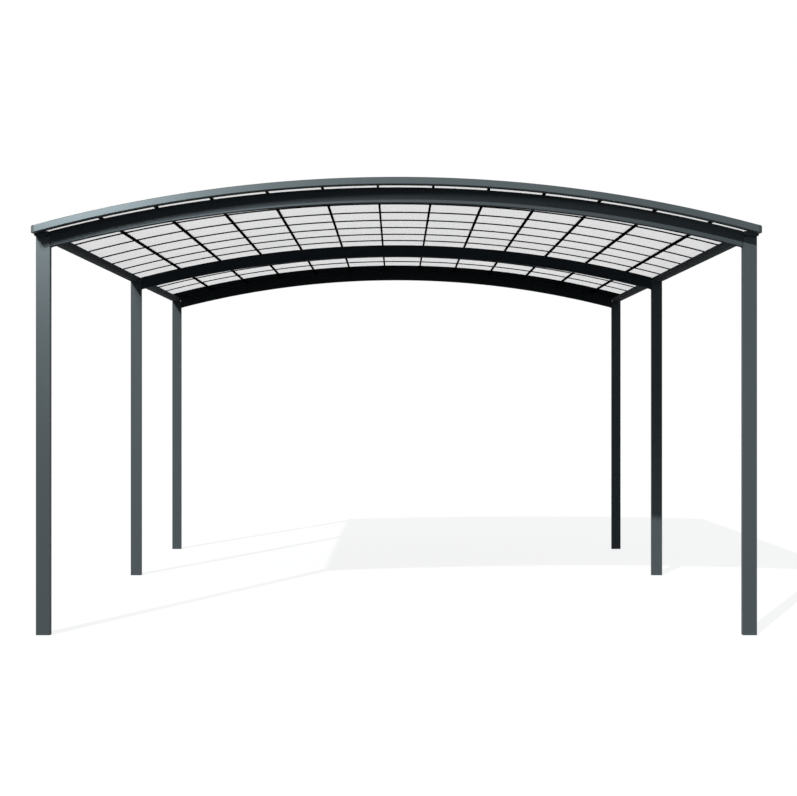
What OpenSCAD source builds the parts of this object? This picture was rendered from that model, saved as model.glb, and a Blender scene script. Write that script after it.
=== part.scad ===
// Free-standing double carport: six posts, three arched cross beams, two
// eave gutters and an arched roof of translucent sheets on glazing bars.
// Millimetres. Origin on the ground under the middle of the roof,
// +X to the right, +Y from the front edge to the rear edge, +Z up.

/* [Overall] */
// Width over the outer faces of the posts
width = 5100; // [4200:10:6200]
// Front bay, from the front face of one post to the front face of the next
front_bay = 3536; // [2600:1:4400]
// Rear bay, measured the same way
rear_bay = 2490; // [1900:1:3200]
// How far the roof edge stands out past the end posts
overhang = 134; // [110:1:260]
// Height of the posts
post_h = 2820; // [2100:5:3400]

/* [Posts] */
// Face of the post tube, across the carport
post_w = 100; // [80:1:140]
// Depth of the post tube, front to rear
post_d = 50; // [40:1:80]
// Wall of the post tube
post_wall = 3; // [2:0.5:5]
// Foot plate that closes the post at the ground
foot_t = 6; // [4:1:12]

/* [Arch beams] */
// Rise of the beams' underside from the posts to the crown
arch_rise = 313; // [220:1:460]
// How far the beams' underside starts below the post tops
beam_seat = 73; // [60:1:110]
// Height of the arch beam tube
beam_h = 108; // [90:1:150]
// Depth of the arch beam tube, front to rear
beam_d = 50; // [40:1:80]
// Wall of the arch beam tube
beam_wall = 3; // [2:0.5:5]
// Corner radius of the metal tubes
tube_r = 3; // [1:0.5:6]

/* [Gutters] */
// Wall of the gutter channel
gutter_wall = 3; // [2:0.5:4]
// Width of the lip on the gutter's inner wall
lip_w = 12; // [8:1:20]
// How far the lip lies below the line of the beams' tops
lip_drop = 6; // [0:1:14]
// Height of the gutter's outer wall
gutter_h = 60; // [45:1:70]
// Radius of the gutter's rounded lower inner edge
gutter_r = 55; // [30:1:70]
// Thickness of the plate that closes a gutter's end
stop_t = 3; // [2:0.5:6]

/* [Fascias] */
// Height of the fascia bar at the roof's edge
fascia_h = 48; // [38:1:80]
// Depth of the fascia bar, front to rear
fascia_d = 85; // [60:1:100]
// Wall of the fascia bar
fascia_wall = 2; // [1.5:0.5:4]
// How far the fascia's underside lies above the beams' tops
fascia_lift = 4; // [0:1:10]
// How much lower a fascia's ends lie than an arc parallel to the beams
fascia_drop = 6; // [0:1:14]
// Width of the end cap on a fascia
cap_w = 20; // [14:1:40]
// Radius of the end cap's upper outer corner
cap_r = 12; // [6:1:14]

/* [Roof sheets] */
// Panels across the roof, the last one narrower
panel_n = 13; // [8:1:20]
// Width of the last panel, as a share of the others
last_share = 0.67; // [0.4:0.01:1]
// Cells along the roof, between cross ribs
cell_n = 13; // [6:1:20]
// Thickness of a translucent sheet
sheet_t = 10; // [6:1:16]
// How far the sheets reach over the gutters
sheet_lap = 35; // [20:1:60]
// Clearance at a sheet's edge
sheet_gap = 1; // [0.5:0.5:3]
// Thickness of the metal sheet over the rear cell
cover_t = 2; // [1:0.5:4]

/* [Bars and ribs] */
// Width of a glazing bar
bar_w = 16; // [10:1:30]
// Depth of a glazing bar
bar_h = 18; // [12:1:40]
// Width of a cross rib
rib_w = 14; // [8:1:24]
// Depth of a cross rib
rib_h = 9; // [3:1:12]
// Width of the clear strip over a joint between sheets
strip_w = 16; // [10:1:50]
// Thickness of the clear strip
strip_t = 4; // [2:1:6]

/* [Hidden] */
$fn = 240;
// Clearance of a rib in its notch
notch_gap = 0.3;
eps = 1;

metal = "#545e60";
metal_dark = "#3c4446";
clear_sheet = "#d9dde6";

// Along the carport
depth = 2 * overhang + front_bay + rear_bay + post_d;
y_posts = [
    -depth / 2 + overhang,
    -depth / 2 + overhang + front_bay,
    -depth / 2 + overhang + front_bay + rear_bay
];
y_roof0 = -depth / 2 + fascia_d;
y_roof1 = depth / 2 - fascia_d;
rib_pitch = (y_roof1 - y_roof0) / cell_n;
y_cover = y_roof1 - rib_pitch;

// Across the carport
x_out = width / 2;
x_in = x_out - post_w;
x_sheet = x_in + sheet_lap;
panel_pitch = 2 * x_sheet / (panel_n - 1 + last_share);
bar_n = panel_n - 1;

// Radii about the arch's axis, from the beams' underside outwards
r_under = (x_in * x_in + arch_rise * arch_rise) / (2 * arch_rise);
r_beam = r_under + beam_h;
r_sheet = r_beam + bar_h;
r_strip = r_sheet + sheet_t;
z_axis = post_h - beam_seat + arch_rise - r_under;

// Height at the distance x from the middle of an arc of radius r about the height z0
function arc_z(r, x, z0 = z_axis) = z0 + sqrt(r * r - x * x);
// Angle from the crown at which an arc of radius r reaches x
function arc_a(r, x) = asin(x / r);
// Place of glazing bar i across the carport, counted from the left
function bar_x(i) = -x_sheet + (i + 1) * panel_pitch;
// Place of cross rib i along the carport, counted from the front
function rib_y(i) = y_roof0 + (i + 1) * rib_pitch;
function two(i) = str(i < 9 ? "0" : "", i + 1);

// The fascias' own arc: level with fascia_lift at the crown, fascia_drop lower at x_in
z_crown = arc_z(r_beam + fascia_lift, 0);
fascia_rise = z_crown - arc_z(r_beam + fascia_lift, x_in) + fascia_drop;
r_fascia0 = (x_in * x_in + fascia_rise * fascia_rise) / (2 * fascia_rise);
r_fascia1 = r_fascia0 + fascia_h;
z_fascia = z_crown - r_fascia0;

SIDES = ["left", "right"];
ROWS = ["front", "middle", "rear"];
ENDS = ["front", "rear"];

// Rectangle with round corners, its lower left corner at the origin
module round_rect(w, h, r) {
    translate([r, 0]) square([w - 2 * r, h]);
    translate([0, r]) square([w, h - 2 * r]);
    for (x = [r, w - r], y = [r, h - r])
        translate([x, y]) circle(r, $fn = 48);
}

// Turns a profile drawn as (radius, y) about an axis at the height z0, from angle a0 to a1
// off the crown
module sweep_arc(a0, a1, z0 = z_axis) {
    translate([0, 0, z0])
        rotate([90, 0, 0])
            rotate([0, 0, 90 - a1])
                rotate_extrude(angle = a1 - a0)
                    mirror([0, 1])
                        children();
}

// Left half of an arch from the crown down, cut off upright at the distance x
module sweep_half(r0, x, z0) {
    intersection() {
        translate([0, 0, z0])
            rotate([90, 0, 0])
                rotate([0, 0, 90])
                    rotate_extrude(angle = arc_a(r0, x))
                        mirror([0, 1])
                            children();
        translate([-x, -depth / 2 - eps, 0])
            cube([x + eps, depth + 2 * eps, 2 * post_h]);
    }
}

// Whole arch of the profile (radius, y) from one side to the other
module sweep_arch(r0, x, z0 = z_axis) {
    sweep_half(r0, x, z0) children();
    mirror([1, 0, 0]) sweep_half(r0, x, z0) children();
}

// Rectangular tube profile as (radius, y)
module tube_profile(r0, h, y0, d, wall) {
    translate([r0, y0])
        difference() {
            round_rect(h, d, tube_r);
            translate([wall, wall]) square([h - 2 * wall, d - 2 * wall]);
        }
}

// Post tube with a foot plate welded in flush with its lower end
module post(side, row) {
    x0 = side < 0 ? -x_out : x_in;
    color(metal)
        translate([x0, y_posts[row], 0])
            difference() {
                linear_extrude(post_h) round_rect(post_w, post_d, tube_r);
                translate([post_wall, post_wall, foot_t])
                    cube([post_w - 2 * post_wall, post_d - 2 * post_wall, post_h]);
            }
}

// Arched tube whose ends butt against the inner faces of a pair of posts
module arch_beam(row) {
    color(metal_dark)
        sweep_arch(r_under, x_in)
            tube_profile(r_under, beam_h, y_posts[row], beam_d, beam_wall);
}

// Section of the gutter: a flat bottom, an upright outer wall and a round inner wall
// that ends in a flat lip at the height low
module gutter_section(low) {
    reach = sqrt(gutter_r * gutter_r - pow(gutter_r - low, 2));
    difference() {
        union() {
            translate([reach, 0]) square([post_w - reach, gutter_h]);
            intersection() {
                translate([reach, gutter_r]) circle(gutter_r, $fn = 180);
                square([reach + eps, low]);
            }
        }
        translate([reach, gutter_wall])
            square([post_w - reach - gutter_wall, gutter_h]);
        intersection() {
            translate([reach, gutter_r]) circle(gutter_r - gutter_wall, $fn = 180);
            square([reach + eps, low + eps]);
        }
    }
    translate([0, low - gutter_wall]) square([lip_w, gutter_wall]);
}

// Outline of the plate that closes the section up to the lip
module gutter_stop(low) {
    reach = sqrt(gutter_r * gutter_r - pow(gutter_r - low, 2));
    translate([reach, 0]) square([post_w - reach, low]);
    intersection() {
        translate([reach, gutter_r]) circle(gutter_r, $fn = 180);
        square([reach + eps, low]);
    }
}

// Gutter channel on the post tops, open above, from fascia to fascia, with closed ends
module gutter(side) {
    low = arc_z(r_beam, x_in) - lip_drop - post_h;
    long = y_roof1 - y_roof0;
    color(metal)
        mirror([side < 0 ? 1 : 0, 0, 0])
            translate([x_in, y_roof1, post_h])
                rotate([90, 0, 0]) {
                    linear_extrude(long) gutter_section(low);
                    linear_extrude(stop_t) gutter_stop(low);
                    translate([0, 0, long - stop_t]) linear_extrude(stop_t) gutter_stop(low);
                }
}

// Arched hollow bar at the roof's front or rear edge, between its end caps
module fascia(end) {
    y0 = end < 0 ? -depth / 2 : y_roof1;
    color(metal)
        sweep_arch(r_fascia0, x_out - cap_w, z_fascia)
            tube_profile(r_fascia0, fascia_h, y0, fascia_d, fascia_wall);
}

// Cast cap that closes a fascia, its upper outer corner rounded
module fascia_cap(end, side) {
    y0 = end < 0 ? -depth / 2 : y_roof1;
    // Centre of the corner's circle, tangent to the outer face and to the top
    cx = x_out - cap_r;
    cz = arc_z(r_fascia1 - cap_r, cx, z_fascia);
    lean = arc_a(r_fascia1 - cap_r, cx);
    a0 = arc_a(r_fascia1, x_out - cap_w - eps);
    a1 = arc_a(r_fascia0, x_out);
    color(metal_dark)
        mirror([side < 0 ? 1 : 0, 0, 0])
            difference() {
                intersection() {
                    sweep_arc(a0, a1, z_fascia)
                        translate([r_fascia0, y0]) square([fascia_h, fascia_d]);
                    translate([x_out - cap_w, y0 - eps, 0])
                        cube([cap_w, fascia_d + 2 * eps, 2 * post_h]);
                }
                translate([cx, y0 + fascia_d + eps, cz])
                    rotate([90, 0, 0])
                        linear_extrude(fascia_d + 2 * eps)
                            difference() {
                                polygon([
                                    [0, 0],
                                    [3 * cap_r * sin(lean), 3 * cap_r * cos(lean)],
                                    [3 * cap_r, 3 * cap_r],
                                    [3 * cap_r, 0]
                                ]);
                                circle(cap_r, $fn = 64);
                            }
            }
}

// Straight bar from fascia to fascia on top of the arch beams, notched for the ribs
module glazing_bar(i) {
    x = bar_x(i);
    a = arc_a(r_beam, x);
    half = arc_a(r_beam, bar_w / 2);
    color(metal_dark)
        difference() {
            sweep_arc(a - half, a + half)
                translate([r_beam, y_roof0]) square([bar_h, y_roof1 - y_roof0]);
            for (k = [0:cell_n - 2])
                sweep_arc(a - 2 * half, a + 2 * half)
                    translate([r_sheet - rib_h - notch_gap, rib_y(k) - rib_w / 2 - notch_gap])
                        square([rib_h + notch_gap + eps, rib_w + 2 * notch_gap]);
        }
}

// Translucent sheet between two glazing bars, its edges resting on them
module roof_sheet(i) {
    x0 = i == 0 ? -x_sheet : bar_x(i - 1) + sheet_gap;
    x1 = i == panel_n - 1 ? x_sheet : bar_x(i) - sheet_gap;
    color(clear_sheet, 0.6)
        sweep_arc(arc_a(r_sheet, x0), arc_a(r_sheet, x1))
            translate([r_sheet, y_roof0 + sheet_gap / 2])
                square([sheet_t, y_cover - y_roof0 - sheet_gap]);
}

// Thin arched laths under the sheets, let into the glazing bars
module cross_ribs() {
    color(metal_dark)
        for (k = [0:cell_n - 2])
            sweep_arch(r_sheet - rib_h, x_sheet)
                translate([r_sheet - rib_h, rib_y(k) - rib_w / 2])
                    square([rib_h, rib_w]);
}

// Clear strips that close the joints between the sheets, over the glazing bars
module cap_strips() {
    half = arc_a(r_strip, strip_w / 2);
    color(clear_sheet, 0.4)
        for (i = [0:bar_n - 1])
            let (a = arc_a(r_sheet, bar_x(i)))
                sweep_arc(a - half, a + half)
                    translate([r_strip, y_roof0 + sheet_gap / 2])
                        square([strip_t, y_cover - y_roof0 - sheet_gap]);
}

// Metal sheet that closes the rear cell of the roof
module rear_cover() {
    color(metal_dark)
        sweep_arch(r_sheet, x_sheet)
            translate([r_sheet, y_cover + sheet_gap / 2])
                square([cover_t, y_roof1 - y_cover - sheet_gap]);
}

for (r = [0:2], s = [0:1])
    post(2 * s - 1, r);
for (r = [0:2])
    arch_beam(r);
for (s = [0:1])
    gutter(2 * s - 1);
for (e = [0:1])
    fascia(2 * e - 1);
for (e = [0:1], s = [0:1])
    fascia_cap(2 * e - 1, 2 * s - 1);
for (i = [0:bar_n - 1])
    glazing_bar(i);
for (i = [0:panel_n - 1])
    roof_sheet(i);
cross_ribs();
cap_strips();
rear_cover();
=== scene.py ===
"""Free-standing double carport: six posts, three arched beams, two eave gutters
and an arched roof of translucent sheets. Metres, in the frame of the CAD model."""

import math

import bmesh
import bpy
import numpy as np
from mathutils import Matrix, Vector


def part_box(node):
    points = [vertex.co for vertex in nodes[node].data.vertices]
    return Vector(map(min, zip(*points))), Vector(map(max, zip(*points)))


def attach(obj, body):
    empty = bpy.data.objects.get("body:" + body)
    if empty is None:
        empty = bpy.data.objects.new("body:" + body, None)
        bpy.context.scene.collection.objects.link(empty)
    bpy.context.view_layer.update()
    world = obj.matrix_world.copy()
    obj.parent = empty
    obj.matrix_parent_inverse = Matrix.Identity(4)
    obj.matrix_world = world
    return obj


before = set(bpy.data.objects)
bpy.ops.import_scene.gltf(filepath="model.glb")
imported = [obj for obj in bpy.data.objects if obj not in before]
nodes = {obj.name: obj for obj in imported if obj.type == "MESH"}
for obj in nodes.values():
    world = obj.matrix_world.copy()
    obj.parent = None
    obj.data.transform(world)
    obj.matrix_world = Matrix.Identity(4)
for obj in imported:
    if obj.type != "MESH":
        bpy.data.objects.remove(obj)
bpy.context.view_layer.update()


# ---------------------------------------------------------------- posts
# Rectangular aluminium tubes, cut square at both ends and set straight on the
# ground. They are powder coated in anthracite with a fine mica, a coat that
# is slightly rough to the hand and brightens towards the light.

POST_COLOUR = (0.074, 0.090, 0.096, 1)
COAT_CLOUDS = 1.7
COAT_STREAKS = 26.0
STREAK_STRETCH = (1, 1, 0.04)
COAT_ROUGH_SWAY = 0.06
ORANGE_PEEL = 620.0
PEEL_STRENGTH = 0.15
PEEL_DEPTH = 0.0002


def add_node(tree, kind, place=(0, 0), **settings):
    """A new shader node of that kind, with its properties set."""
    made = tree.nodes.new(kind)
    made.location = place
    for name, value in settings.items():
        setattr(made, name, value)
    return made


def fill(node, **values):
    """Sets sockets by name, with _ for a space."""
    for name, value in values.items():
        node.inputs[name.replace("_", " ")].default_value = value
    return node


def scaled(tree, value, low, high):
    """The output that takes a value from 0..1 to low..high in a straight line."""
    made = add_node(tree, "ShaderNodeMapRange")
    fill(made, To_Min=low, To_Max=high)
    tree.links.new(value, made.inputs["Value"])
    return made.outputs["Result"]


def noise(tree, where, scale, detail=2.0, stretch=(1, 1, 1)):
    """Noise from 0 to 1, scale cells a metre, stretched along the axes."""
    turn = add_node(tree, "ShaderNodeMapping")
    turn.inputs["Scale"].default_value = stretch
    made = fill(add_node(tree, "ShaderNodeTexNoise"), Scale=scale, Detail=detail)
    tree.links.new(where, turn.inputs["Vector"])
    tree.links.new(turn.outputs["Vector"], made.inputs["Vector"])
    return made.outputs["Fac"]


def new_group(name, inputs, outputs):
    """An empty shader group; inputs and outputs are (name, socket type, default)."""
    tree = bpy.data.node_groups.new(name, "ShaderNodeTree")
    for sockets, side in ((inputs, "INPUT"), (outputs, "OUTPUT")):
        for label, kind, default in sockets:
            socket = tree.interface.new_socket(label, in_out=side, socket_type=kind)
            if default is not None:
                socket.default_value = default
    return tree, add_node(tree, "NodeGroupInput"), add_node(tree, "NodeGroupOutput")


def multiply_colour(tree, colour, value):
    """Colour times a value."""
    made = add_node(tree, "ShaderNodeVectorMath", operation="SCALE")
    tree.links.new(colour, made.inputs[0])
    tree.links.new(value, made.inputs["Scale"])
    return made.outputs[0]


def build_powder_coat():
    """Powder coat: cloudy colour, faint rain streaks and a fine orange peel."""
    tree, given, result = new_group(
        "powder_coat",
        [("Colour", "NodeSocketColor", (0.1, 0.1, 0.1, 1)),
         ("Clouds", "NodeSocketFloat", 0.08),
         ("Roughness", "NodeSocketFloat", 0.45)],
        [("Colour", "NodeSocketColor", None),
         ("Roughness", "NodeSocketFloat", None),
         ("Height", "NodeSocketFloat", None)],
    )
    where = add_node(tree, "ShaderNodeTexCoord").outputs["Object"]
    clouds = noise(tree, where, COAT_CLOUDS, 3.0)
    streaks = noise(tree, where, COAT_STREAKS, 2.0, STREAK_STRETCH)
    both = add_node(tree, "ShaderNodeMath", operation="ADD")
    tree.links.new(clouds, both.inputs[0])
    tree.links.new(streaks, both.inputs[1])
    centred = add_node(tree, "ShaderNodeMath", operation="SUBTRACT")
    centred.inputs[1].default_value = 1.0
    tree.links.new(both.outputs[0], centred.inputs[0])
    shade = add_node(tree, "ShaderNodeMath", operation="MULTIPLY_ADD")
    shade.inputs[2].default_value = 1.0
    tree.links.new(centred.outputs[0], shade.inputs[0])
    tree.links.new(given.outputs["Clouds"], shade.inputs[1])
    tree.links.new(
        multiply_colour(tree, given.outputs["Colour"], shade.outputs[0]),
        result.inputs["Colour"],
    )
    rough = add_node(tree, "ShaderNodeMath", operation="MULTIPLY_ADD")
    rough.inputs[1].default_value = COAT_ROUGH_SWAY
    tree.links.new(centred.outputs[0], rough.inputs[0])
    tree.links.new(given.outputs["Roughness"], rough.inputs[2])
    tree.links.new(rough.outputs[0], result.inputs["Roughness"])
    tree.links.new(noise(tree, where, ORANGE_PEEL, 1.0), result.inputs["Height"])
    return tree


def new_material(name):
    """A material with one Principled shader; returns (material, tree, shader)."""
    made = bpy.data.materials.new(name)
    made.use_nodes = True
    return made, made.node_tree, made.node_tree.nodes["Principled BSDF"]


powder_coat = build_powder_coat()


def coated(name, colour, roughness, metallic, specular, clouds=0.08):
    """A powder-coated metal of that colour."""
    made, tree, shader = new_material(name)
    coat = add_node(tree, "ShaderNodeGroup", node_tree=powder_coat)
    fill(coat, Colour=colour, Clouds=clouds, Roughness=roughness)
    fill(shader, Metallic=metallic, Specular_IOR_Level=specular)
    peel = add_node(tree, "ShaderNodeBump")
    fill(peel, Strength=PEEL_STRENGTH, Distance=PEEL_DEPTH)
    tree.links.new(coat.outputs["Height"], peel.inputs["Height"])
    tree.links.new(coat.outputs["Colour"], shader.inputs["Base Color"])
    tree.links.new(coat.outputs["Roughness"], shader.inputs["Roughness"])
    tree.links.new(peel.outputs["Normal"], shader.inputs["Normal"])
    return made


def finish_nodes(names, material):
    """Gives CAD nodes their material."""
    for name in names:
        mesh = nodes[name].data
        mesh.materials.clear()
        mesh.materials.append(material)


def named(prefix):
    """The CAD nodes whose names start with prefix, in order."""
    return sorted(name for name in nodes if name.startswith(prefix))


post_coat = coated("post_coat", POST_COLOUR, roughness=0.5, metallic=0.0, specular=0.08)
finish_nodes(named("post_"), post_coat)


# ---------------------------------------------------------------- arch beams
# Rolled rectangular tubes that butt against the posts' inner faces. A rubber
# gasket seals each end, and a pair of button-head screws through the rear face
# holds the tube on a spigot inside it.

BEAM_COLOUR = (0.070, 0.084, 0.092, 1)
RUBBER_COLOUR = (0.012, 0.012, 0.013, 1)
BLOOM_COLOUR = (0.020, 0.020, 0.021, 1)
RUBBER_GRAIN = 900.0
STEEL_COLOUR = (0.50, 0.51, 0.52, 1)
TURNING_MARKS = 1500.0
GASKET_RADIUS = 0.0026
GASKET_INSET = 0.003
GASKET_CORNER = 0.004
BEAM_SCREW_RADIUS = 0.006
BEAM_SCREW_INSET = 0.032
BEAM_SCREW_SPREAD = 0.03


def rubber(name):
    """Extruded black rubber: dull, with a fine grain and a little bloom."""
    made, tree, shader = new_material(name)
    where = add_node(tree, "ShaderNodeTexCoord").outputs["Object"]
    fill(shader, Specular_IOR_Level=0.2)
    bloom = add_node(tree, "ShaderNodeMix", data_type="RGBA")
    tree.links.new(noise(tree, where, 9.0, 3.0), bloom.inputs[0])
    bloom.inputs[6].default_value = RUBBER_COLOUR
    bloom.inputs[7].default_value = BLOOM_COLOUR
    tree.links.new(bloom.outputs[2], shader.inputs["Base Color"])
    rough = scaled(tree, noise(tree, where, 40.0), 0.62, 0.82)
    tree.links.new(rough, shader.inputs["Roughness"])
    grain = fill(add_node(tree, "ShaderNodeBump"), Strength=0.2, Distance=0.0002)
    tree.links.new(noise(tree, where, RUBBER_GRAIN, 1.0), grain.inputs["Height"])
    tree.links.new(grain.outputs["Normal"], shader.inputs["Normal"])
    return made


def stainless(name):
    """Stainless steel: a greyish metal with fine turning marks and dull patches."""
    made, tree, shader = new_material(name)
    where = add_node(tree, "ShaderNodeTexCoord").outputs["Object"]
    fill(shader, Metallic=1.0)
    shade = scaled(tree, noise(tree, where, 60.0, 3.0), 0.88, 1.08)
    tint = add_node(tree, "ShaderNodeRGB")
    tint.outputs[0].default_value = STEEL_COLOUR
    colour = multiply_colour(tree, tint.outputs[0], shade)
    tree.links.new(colour, shader.inputs["Base Color"])
    rough = scaled(tree, noise(tree, where, 300.0, 2.0, (1, 1, 6)), 0.24, 0.42)
    tree.links.new(rough, shader.inputs["Roughness"])
    marks = fill(add_node(tree, "ShaderNodeBump"), Strength=0.12, Distance=0.0001)
    tree.links.new(noise(tree, where, TURNING_MARKS, 1.0, (1, 1, 8)), marks.inputs["Height"])
    tree.links.new(marks.outputs["Normal"], shader.inputs["Normal"])
    return made


def vertices(node):
    """A CAD node's vertices as an array of points."""
    mesh = nodes[node].data
    flat = np.empty(3 * len(mesh.vertices))
    mesh.vertices.foreach_get("co", flat)
    return flat.reshape(-1, 3)


def arc_axis(node):
    """Radius and axis height of a node's upper arc, through its crown and its end.

    The radius is (reach squared + rise squared) / (2 * rise).
    """
    points = vertices(node)
    x, z = points[:, 0], points[:, 2]
    end = x.max()
    drop = z.max() - z[x > end - 1e-4].max()
    radius = (end * end + drop * drop) / (2 * drop)
    return radius, z.max() - radius


def radii(node, axis):
    """Smallest and largest distance of a node's vertices from the arch's axis."""
    points = vertices(node)
    reach = np.hypot(points[:, 0], points[:, 2] - axis)
    return reach.min(), reach.max()


def grid_faces(rows, columns, around_rows, around_columns):
    """Quads over a grid of points numbered row by row, closed where it goes around."""
    r = np.arange(rows if around_rows else rows - 1)
    c = np.arange(columns if around_columns else columns - 1)
    r, c = (part.ravel() for part in np.meshgrid(r, c, indexing="ij"))
    r1, c1 = (r + 1) % rows, (c + 1) % columns
    corners = [r * columns + c, r1 * columns + c, r1 * columns + c1, r * columns + c1]
    return np.stack(corners, 1)


def carry(path, across, up, outline, closed=False):
    """An outline carried along a path: point = path + a * across + b * up for each (a, b)."""
    a, b = outline[:, 0][None, :, None], outline[:, 1][None, :, None]
    points = path[:, None] + a * across[:, None] + b * up[:, None]
    rows, columns = points.shape[:2]
    faces = grid_faces(rows, columns, closed, True).tolist()
    if not closed:
        faces.append(list(range(columns)))
        faces.append(list(range((rows - 1) * columns, rows * columns)))
    return points.reshape(-1, 3), faces


def round_outline(radius, count=8):
    """Circle of that radius as (a, b) pairs."""
    turn = np.linspace(0, 2 * math.pi, count, endpoint=False)
    return radius * np.stack([np.cos(turn), np.sin(turn)], 1)


def add_piece(name, parts, material):
    """One mesh from (points, faces) parts, faces turned outwards, riding on the frame."""
    points, faces, start = [], [], 0
    for part_points, part_faces in parts:
        points.append(part_points)
        faces += [[start + k for k in face] for face in part_faces]
        start += len(part_points)
    mesh = bpy.data.meshes.new(name)
    mesh.from_pydata(np.concatenate(points).tolist(), [], faces)
    shell = bmesh.new()
    shell.from_mesh(mesh)
    bmesh.ops.recalc_face_normals(shell, faces=shell.faces)
    shell.to_mesh(mesh)
    shell.free()
    mesh.materials.append(material)
    mesh.polygons.foreach_set("use_smooth", [True] * len(mesh.polygons))
    mesh.set_sharp_from_angle(angle=math.radians(40))
    made = bpy.data.objects.new(name, mesh)
    bpy.context.scene.collection.objects.link(made)
    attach(made, "root")
    return made


def button_head(place, axis, radius, segments=12):
    """Screw head about its axis: rows of (radius, height), the last two a hexagonal socket."""
    axis = np.array(axis, float) / np.linalg.norm(axis)
    side = np.cross(axis, (0, 1, 0) if abs(axis[1]) < 0.9 else (1, 0, 0))
    side /= np.linalg.norm(side)
    other = np.cross(axis, side)
    turn = np.linspace(0, 2 * math.pi, segments, endpoint=False)
    ring = np.cos(turn)[:, None] * side + np.sin(turn)[:, None] * other
    hexagon = math.cos(math.pi / 6) / np.cos(turn % (math.pi / 3) - math.pi / 6)
    rows = [(1.0, -0.05, 0), (1.0, 0.18, 0), (0.80, 0.42, 0), (0.52, 0.52, 0),
            (0.46, 0.50, 1), (0.44, 0.16, 1)]
    rings = [
        reach * np.where(six, hexagon, 1)[:, None] * ring + rise * axis
        for reach, rise, six in rows
    ]
    points = np.array(place) + radius * np.concatenate(rings)
    faces = grid_faces(len(rows), segments, False, True).tolist()
    faces.append(list(range(segments)))
    faces.append(list(range((len(rows) - 1) * segments, len(rows) * segments)))
    return points, faces


def collar(lo, hi, x, radius):
    """Round bead along a rectangle with round corners that lies upright across X."""
    turn = np.linspace(0, math.pi / 2, 4)
    corners = [(hi[1], hi[2], 0), (lo[1], hi[2], 1), (lo[1], lo[2], 2), (hi[1], lo[2], 3)]
    path, out = [], []
    for y, z, quarter in corners:
        way = np.stack([np.cos(turn + quarter * math.pi / 2),
                        np.sin(turn + quarter * math.pi / 2)], 1)
        centre = np.array([y, z]) - GASKET_CORNER * np.sign(way.sum(0))
        path.append(centre + GASKET_CORNER * way)
        out.append(way)
    path, out = np.concatenate(path), np.concatenate(out)
    origins = np.column_stack([np.full(len(path), x), path])
    across = np.column_stack([np.zeros(len(out)), out])
    up = np.tile((1.0, 0.0, 0.0), (len(out), 1))
    return carry(origins, across, up, round_outline(radius), closed=True)


beam_coat = coated("beam_coat", BEAM_COLOUR, roughness=0.7, metallic=0.0, specular=0.02)
black_rubber = rubber("black_rubber")
screw_metal = stainless("screw_metal")
finish_nodes(named("arch_beam_"), beam_coat)

beam_radius, arch_axis = arc_axis("arch_beam_front")
gaskets, beam_screws = [], []
for row in ("front", "middle", "rear"):
    lo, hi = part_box("arch_beam_" + row)
    end_top = arch_axis + math.sqrt(beam_radius**2 - hi.x**2)
    for side in (-1, 1):
        gaskets.append(collar(
            (0, lo.y, lo.z), (0, hi.y, end_top), side * (hi.x - GASKET_INSET), GASKET_RADIUS
        ))
        for shift in (-BEAM_SCREW_SPREAD, BEAM_SCREW_SPREAD):
            place = (side * (hi.x - BEAM_SCREW_INSET), hi.y, (lo.z + end_top) / 2 + shift)
            beam_screws.append(button_head(place, (0, 1, 0), BEAM_SCREW_RADIUS))
add_piece("beam_gaskets", gaskets, black_rubber)
add_piece("beam_screws", beam_screws, screw_metal)


# ---------------------------------------------------------------- gutters
# Folded channels that lie on the post tops from fascia to fascia and take the
# rain from the sheets. Each comes in two lengths that meet over the middle
# post, where a riveted strap inside the channel joins them.

STRAP_LENGTH = 0.12
STRAP_THICKNESS = 0.0012
STRAP_EDGE = 0.006
STRAP_REACH = 0.042
CHANNEL_WALL = 0.003
RIVET_RADIUS = 0.004
RIVET_INSET = 0.010
RIVET_PITCH = 0.040

gutter_coat = coated("gutter_coat", BEAM_COLOUR, roughness=0.7, metallic=0.0, specular=0.02)
finish_nodes(named("gutter_"), gutter_coat)


def channel_lining(side, middle):
    """Strap that lines the channel's outer wall and floor: an L outline along Y."""
    low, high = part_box("gutter_right")
    wall = CHANNEL_WALL
    outer, floor_z = high.x - wall, low.z + wall
    inner = outer - STRAP_REACH
    top = high.z - STRAP_EDGE
    thin = STRAP_THICKNESS
    outline = np.array([
        (inner, floor_z), (outer, floor_z), (outer, top),
        (outer - thin, top), (outer - thin, floor_z + thin), (inner, floor_z + thin),
    ])
    path = np.array([(0, middle - STRAP_LENGTH / 2, 0), (0, middle + STRAP_LENGTH / 2, 0)])
    across = np.tile((float(side), 0.0, 0.0), (2, 1))
    up = np.tile((0.0, 0.0, 1.0), (2, 1))
    return carry(path, across, up, outline), inner, outer, floor_z + thin


straps, rivets = [], []
lo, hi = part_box("post_middle_right")
for side in (-1, 1):
    lining, inner, outer, floor_z = channel_lining(side, (lo.y + hi.y) / 2)
    straps.append(lining)
    for x in (inner + RIVET_INSET, outer - RIVET_INSET):
        for y in (-RIVET_PITCH, 0.0, RIVET_PITCH):
            place = (side * x, (lo.y + hi.y) / 2 + y, floor_z)
            rivets.append(button_head(place, (0, 0, 1), RIVET_RADIUS))
add_piece("gutter_straps", straps, gutter_coat)
add_piece("gutter_rivets", rivets, screw_metal)


# ---------------------------------------------------------------- fascias
# Arched hollow bars that close the roof at the front and the rear, in a coat
# full of mica that gleams like metal, with cast caps at their ends. A rubber
# bead seals each against the roof sheets.

FASCIA_COLOUR = (0.064, 0.078, 0.083, 1)
CAP_COLOUR = (0.032, 0.041, 0.044, 1)
BEAD_RADIUS = 0.003
ARC_STEPS = 96

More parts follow.
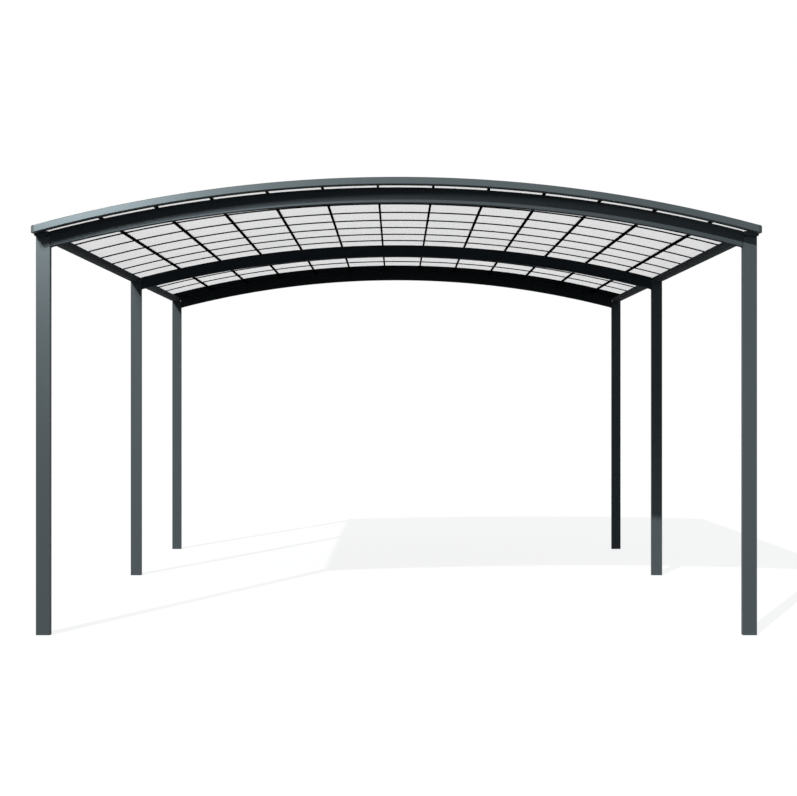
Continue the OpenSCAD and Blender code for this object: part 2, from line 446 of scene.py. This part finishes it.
fascia_coat = coated(
    "fascia_coat", FASCIA_COLOUR, roughness=0.52, metallic=1.0, specular=0.5
)
cap_coat = coated(
    "cap_coat", CAP_COLOUR, roughness=0.6, metallic=0.0, specular=0.3, clouds=0.05
)
finish_nodes(["fascia_front", "fascia_rear"], fascia_coat)
finish_nodes(named("fascia_cap_"), cap_coat)


def arched_bead(radius, y, reach, bead):
    """Round bead on an arch: x = R sin t and z = axis + R cos t, out to x = reach."""
    limit = math.asin(reach / radius)
    t = np.linspace(-limit, limit, ARC_STEPS)
    still = np.zeros_like(t)
    out = np.stack([np.sin(t), still, np.cos(t)], 1)
    path = radius * out + np.array((0.0, y, arch_axis))
    along_y = np.tile((0.0, 1.0, 0.0), (ARC_STEPS, 1))
    return carry(path, out, along_y, round_outline(bead))


sheet_under, sheet_top = radii("roof_sheet_07", arch_axis)
cover_top = radii("rear_cover", arch_axis)[1]
sheet_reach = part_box("cross_ribs")[1].x - BEAD_RADIUS
front_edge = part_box("fascia_front")[1].y
rear_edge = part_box("fascia_rear")[0].y
edge_beads = [
    arched_bead(sheet_top + BEAD_RADIUS, front_edge + BEAD_RADIUS, sheet_reach, BEAD_RADIUS),
    arched_bead(cover_top + BEAD_RADIUS, rear_edge - BEAD_RADIUS, sheet_reach, BEAD_RADIUS),
]
add_piece("fascia_beads", edge_beads, black_rubber)


# ---------------------------------------------------------------- glazing bars
# Slim dark bars from fascia to fascia that carry the edges of the sheets, and
# the thin arched laths let into them, all in a matt coat.

BAR_COLOUR = (0.010, 0.011, 0.012, 1)

bar_coat = coated("bar_coat", BAR_COLOUR, roughness=0.8, metallic=0.0, specular=0.0)
finish_nodes(named("glazing_bar_") + ["cross_ribs"], bar_coat)


# ---------------------------------------------------------------- roof sheets
# Translucent opal sheets, one between each pair of bars, with a clear capping
# strip over each joint. They show the sky through but keep the sun's direct
# light out.

SHEET_COLOUR = (0.56, 0.63, 0.80, 1)
SHEET_ALPHA = 0.17
# How deep the soft patches of painted reflection darken the sheets' colour.
SHEET_PAINTED_REFLECTION = 0.06
FLUTE_STRENGTH = 0.07
FLUTE_DEPTH = 0.0003
STRIP_COLOUR = (0.85, 0.86, 0.88, 1)
STRIP_ALPHA = 0.03
DRAWING_LINES = 70.0
PLASTIC_SPECULAR = 0.3
FLUTES_PER_METRE = 91.0
WAVES_PER_UNIT = 20.0 / (2 * math.pi)


def build_multiwall():
    """Multiwall plastic: faint flutes along Y, and soft patches of painted reflection of a
    cloudy sky that darken the colour in places; the same noise also varies the roughness.
    """
    tree, given, result = new_group(
        "multiwall",
        [("Colour", "NodeSocketColor", (0.8, 0.8, 0.8, 1)),
         ("Patches", "NodeSocketFloat", 0.05)],
        [("Colour", "NodeSocketColor", None),
         ("Roughness", "NodeSocketFloat", None),
         ("Height", "NodeSocketFloat", None)],
    )
    where = add_node(tree, "ShaderNodeTexCoord").outputs["Object"]
    flutes = add_node(tree, "ShaderNodeTexWave", wave_type="BANDS", bands_direction="X")
    fill(flutes, Scale=FLUTES_PER_METRE / WAVES_PER_UNIT, Distortion=0.0)
    tree.links.new(where, flutes.inputs["Vector"])
    # Large soft noise painted into the colour as a reflection of a cloudy sky; it also sets
    # the roughness.
    patches = noise(tree, where, 1.1, 2.0, (1, 0.5, 1))
    low = add_node(tree, "ShaderNodeMath", operation="SUBTRACT")
    low.inputs[0].default_value = 1.0
    tree.links.new(given.outputs["Patches"], low.inputs[1])
    shade = add_node(tree, "ShaderNodeMapRange")
    tree.links.new(patches, shade.inputs["Value"])
    tree.links.new(low.outputs[0], shade.inputs["To Min"])
    shade.inputs["To Max"].default_value = 1.0
    colour = multiply_colour(tree, given.outputs["Colour"], shade.outputs["Result"])
    tree.links.new(colour, result.inputs["Colour"])
    tree.links.new(scaled(tree, patches, 0.30, 0.42), result.inputs["Roughness"])
    tree.links.new(flutes.outputs["Fac"], result.inputs["Height"])
    return tree


multiwall = build_multiwall()


def see_through(tree, shader, alpha):
    """Lets the eye through by 1 - alpha, but stops lamps and scattered light."""
    path = add_node(tree, "ShaderNodeLightPath")
    closed = add_node(tree, "ShaderNodeMath", operation="MAXIMUM")
    tree.links.new(path.outputs["Is Shadow Ray"], closed.inputs[0])
    tree.links.new(path.outputs["Is Diffuse Ray"], closed.inputs[1])
    tree.links.new(scaled(tree, closed.outputs[0], alpha, 1.0), shader.inputs["Alpha"])


def opal_material():
    """Opal multiwall plastic with faint flutes, see-through to the eye."""
    made, tree, shader = new_material("opal_sheet")
    fill(shader, Specular_IOR_Level=PLASTIC_SPECULAR)
    wall = add_node(tree, "ShaderNodeGroup", node_tree=multiwall)
    # The sheets' colour carries soft patches of painted reflection.
    fill(wall, Colour=SHEET_COLOUR, Patches=SHEET_PAINTED_REFLECTION)
    tree.links.new(wall.outputs["Colour"], shader.inputs["Base Color"])
    tree.links.new(wall.outputs["Roughness"], shader.inputs["Roughness"])
    flutes = add_node(tree, "ShaderNodeBump")
    fill(flutes, Strength=FLUTE_STRENGTH, Distance=FLUTE_DEPTH)
    tree.links.new(wall.outputs["Height"], flutes.inputs["Height"])
    tree.links.new(flutes.outputs["Normal"], shader.inputs["Normal"])
    see_through(tree, shader, SHEET_ALPHA)
    return made


def clear_material():
    """Clear plastic strip: nearly invisible, with a soft gloss and faint drawing lines."""
    made, tree, shader = new_material("clear_strip")
    fill(shader, Base_Color=STRIP_COLOUR, Specular_IOR_Level=PLASTIC_SPECULAR)
    where = add_node(tree, "ShaderNodeTexCoord").outputs["Object"]
    lines = noise(tree, where, DRAWING_LINES, 2.0, (1, 0.03, 1))
    tree.links.new(scaled(tree, lines, 0.18, 0.30), shader.inputs["Roughness"])
    see_through(tree, shader, STRIP_ALPHA)
    return made


opal_sheet = opal_material()
clear_strip = clear_material()
finish_nodes(named("roof_sheet_"), opal_sheet)
finish_nodes(["cap_strips"], clear_strip)


# ---------------------------------------------------------------- rear cover
# Curved metal sheet over the last cell of the roof, laid on the glazing bars
# and held to each of them by a screw near its front and its rear edge.

COVER_SCREW_INSET = 0.04
COVER_SCREW_RADIUS = 0.005

cover_coat = coated("cover_coat", BEAM_COLOUR, roughness=0.8, metallic=0.0, specular=0.0)
finish_nodes(["rear_cover"], cover_coat)

cover_screws = []
cover_lo, cover_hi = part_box("rear_cover")
for bar in named("glazing_bar_"):
    lo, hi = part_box(bar)
    lean = math.asin((lo.x + hi.x) / (beam_radius + sheet_under))
    out = np.array((math.sin(lean), 0.0, math.cos(lean)))
    for y in (cover_lo.y + COVER_SCREW_INSET, cover_hi.y - COVER_SCREW_INSET):
        place = np.array((0.0, y, arch_axis)) + cover_top * out
        cover_screws.append(button_head(place, out, COVER_SCREW_RADIUS))
add_piece("cover_screws", cover_screws, screw_metal)


# ---------------------------------------------------------------- studio
# A white floor and sky, a sun at the front left, a small lamp that brings out
# the gleam at the left of the front fascia, and the camera at eye height.

SUN_TRAVEL = (0.062, 0.136, -0.095)
SUN_STRENGTH = 2.9
SUN_WIDTH = 0.8
SKY_STRENGTH = 0.30
SKY_COLOUR = (0.86, 0.94, 1.0, 1)
LAMP_PLACE = (-3.0, -4.8, 4.0)
LAMP_AIM = (-1.7, -3.1, 3.4)
LAMP_POWER = 50.0
LAMP_SIZE = 0.5
LAMP_SPREAD = 100.0
FLOOR_SIZE = 120.0
FLOOR_GREY = 0.20
FLOOR_GREY_SCATTERED = 0.06
FLOOR_GLOW = 0.86
EYE_HEIGHT = 1.611
EYE_TO_POSTS = 9.898
# The focal length and the frame's width in one unit, and the frame in millimetres.
FOCAL_REACH = 1400.0
FRAME_WIDTH = 797.0
SENSOR = 36.0
SHIFT = (0.0026, 0.0118)
VIEW_LIMIT = 500.0


def seen_rays(tree):
    """1 for camera, glossy and transmitted rays, 0 for the rest."""
    path = add_node(tree, "ShaderNodeLightPath")
    total = add_node(tree, "ShaderNodeMath", operation="ADD", use_clamp=True)
    tree.links.new(path.outputs["Is Camera Ray"], total.inputs[0])
    tree.links.new(path.outputs["Is Glossy Ray"], total.inputs[1])
    both = add_node(tree, "ShaderNodeMath", operation="ADD", use_clamp=True)
    tree.links.new(total.outputs[0], both.inputs[0])
    tree.links.new(path.outputs["Is Transmission Ray"], both.inputs[1])
    return both.outputs[0]


def floor_material():
    """Pale floor: white where lit, a little grey in shadow, and dull to scattered light."""
    made, tree, shader = new_material("pale_floor")
    seen = seen_rays(tree)
    grey = scaled(tree, seen, FLOOR_GREY_SCATTERED, FLOOR_GREY)
    glow = scaled(tree, seen, 0.0, FLOOR_GLOW)
    fill(shader, Roughness=1.0, Specular_IOR_Level=0.0, Emission_Color=(1, 1, 1, 1))
    tree.links.new(grey, shader.inputs["Base Color"])
    tree.links.new(glow, shader.inputs["Emission Strength"])
    return made


half = FLOOR_SIZE / 2
floor_mesh = bpy.data.meshes.new("floor")
floor_mesh.from_pydata(
    [(-half, -half, 0), (half, -half, 0), (half, half, 0), (-half, half, 0)],
    [],
    [(0, 1, 2, 3)],
)
floor_mesh.materials.append(floor_material())
floor = bpy.data.objects.new("floor", floor_mesh)
bpy.context.scene.collection.objects.link(floor)

world = bpy.data.worlds.new("sky")
world.use_nodes = True
bpy.context.scene.world = world
sky = world.node_tree.nodes["Background"]
sky_tint = add_node(world.node_tree, "ShaderNodeMix", data_type="RGBA")
sky_tint.inputs[6].default_value = SKY_COLOUR
sky_tint.inputs[7].default_value = (1, 1, 1, 1)
world.node_tree.links.new(seen_rays(world.node_tree), sky_tint.inputs[0])
world.node_tree.links.new(sky_tint.outputs[2], sky.inputs["Color"])
world.node_tree.links.new(
    scaled(world.node_tree, seen_rays(world.node_tree), SKY_STRENGTH, 1.0),
    sky.inputs["Strength"],
)

sun_light = bpy.data.lights.new("sun", "SUN")
sun_light.energy = SUN_STRENGTH
sun_light.angle = math.radians(SUN_WIDTH)
sun = bpy.data.objects.new("sun", sun_light)
bpy.context.scene.collection.objects.link(sun)
sun.rotation_euler = Vector(SUN_TRAVEL).to_track_quat("-Z", "Y").to_euler()

lamp_light = bpy.data.lights.new("lamp", "AREA")
lamp_light.energy = LAMP_POWER
lamp_light.size = LAMP_SIZE
lamp_light.spread = math.radians(LAMP_SPREAD)
lamp = bpy.data.objects.new("lamp", lamp_light)
bpy.context.scene.collection.objects.link(lamp)
lamp.location = LAMP_PLACE
lamp_way = Vector(LAMP_AIM) - Vector(LAMP_PLACE)
lamp.rotation_euler = lamp_way.to_track_quat("-Z", "Y").to_euler()

camera_data = bpy.data.cameras.new("camera")
camera_data.sensor_width = SENSOR
camera_data.lens = FOCAL_REACH * SENSOR / FRAME_WIDTH
camera_data.shift_x, camera_data.shift_y = SHIFT
camera_data.clip_end = VIEW_LIMIT
camera = bpy.data.objects.new("camera", camera_data)
camera.location = (0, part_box("post_front_left")[0].y - EYE_TO_POSTS, EYE_HEIGHT)
camera.rotation_euler = (math.radians(90), 0, 0)
bpy.context.scene.collection.objects.link(camera)
bpy.context.scene.camera = camera
bpy.context.scene.view_settings.view_transform = "Standard"
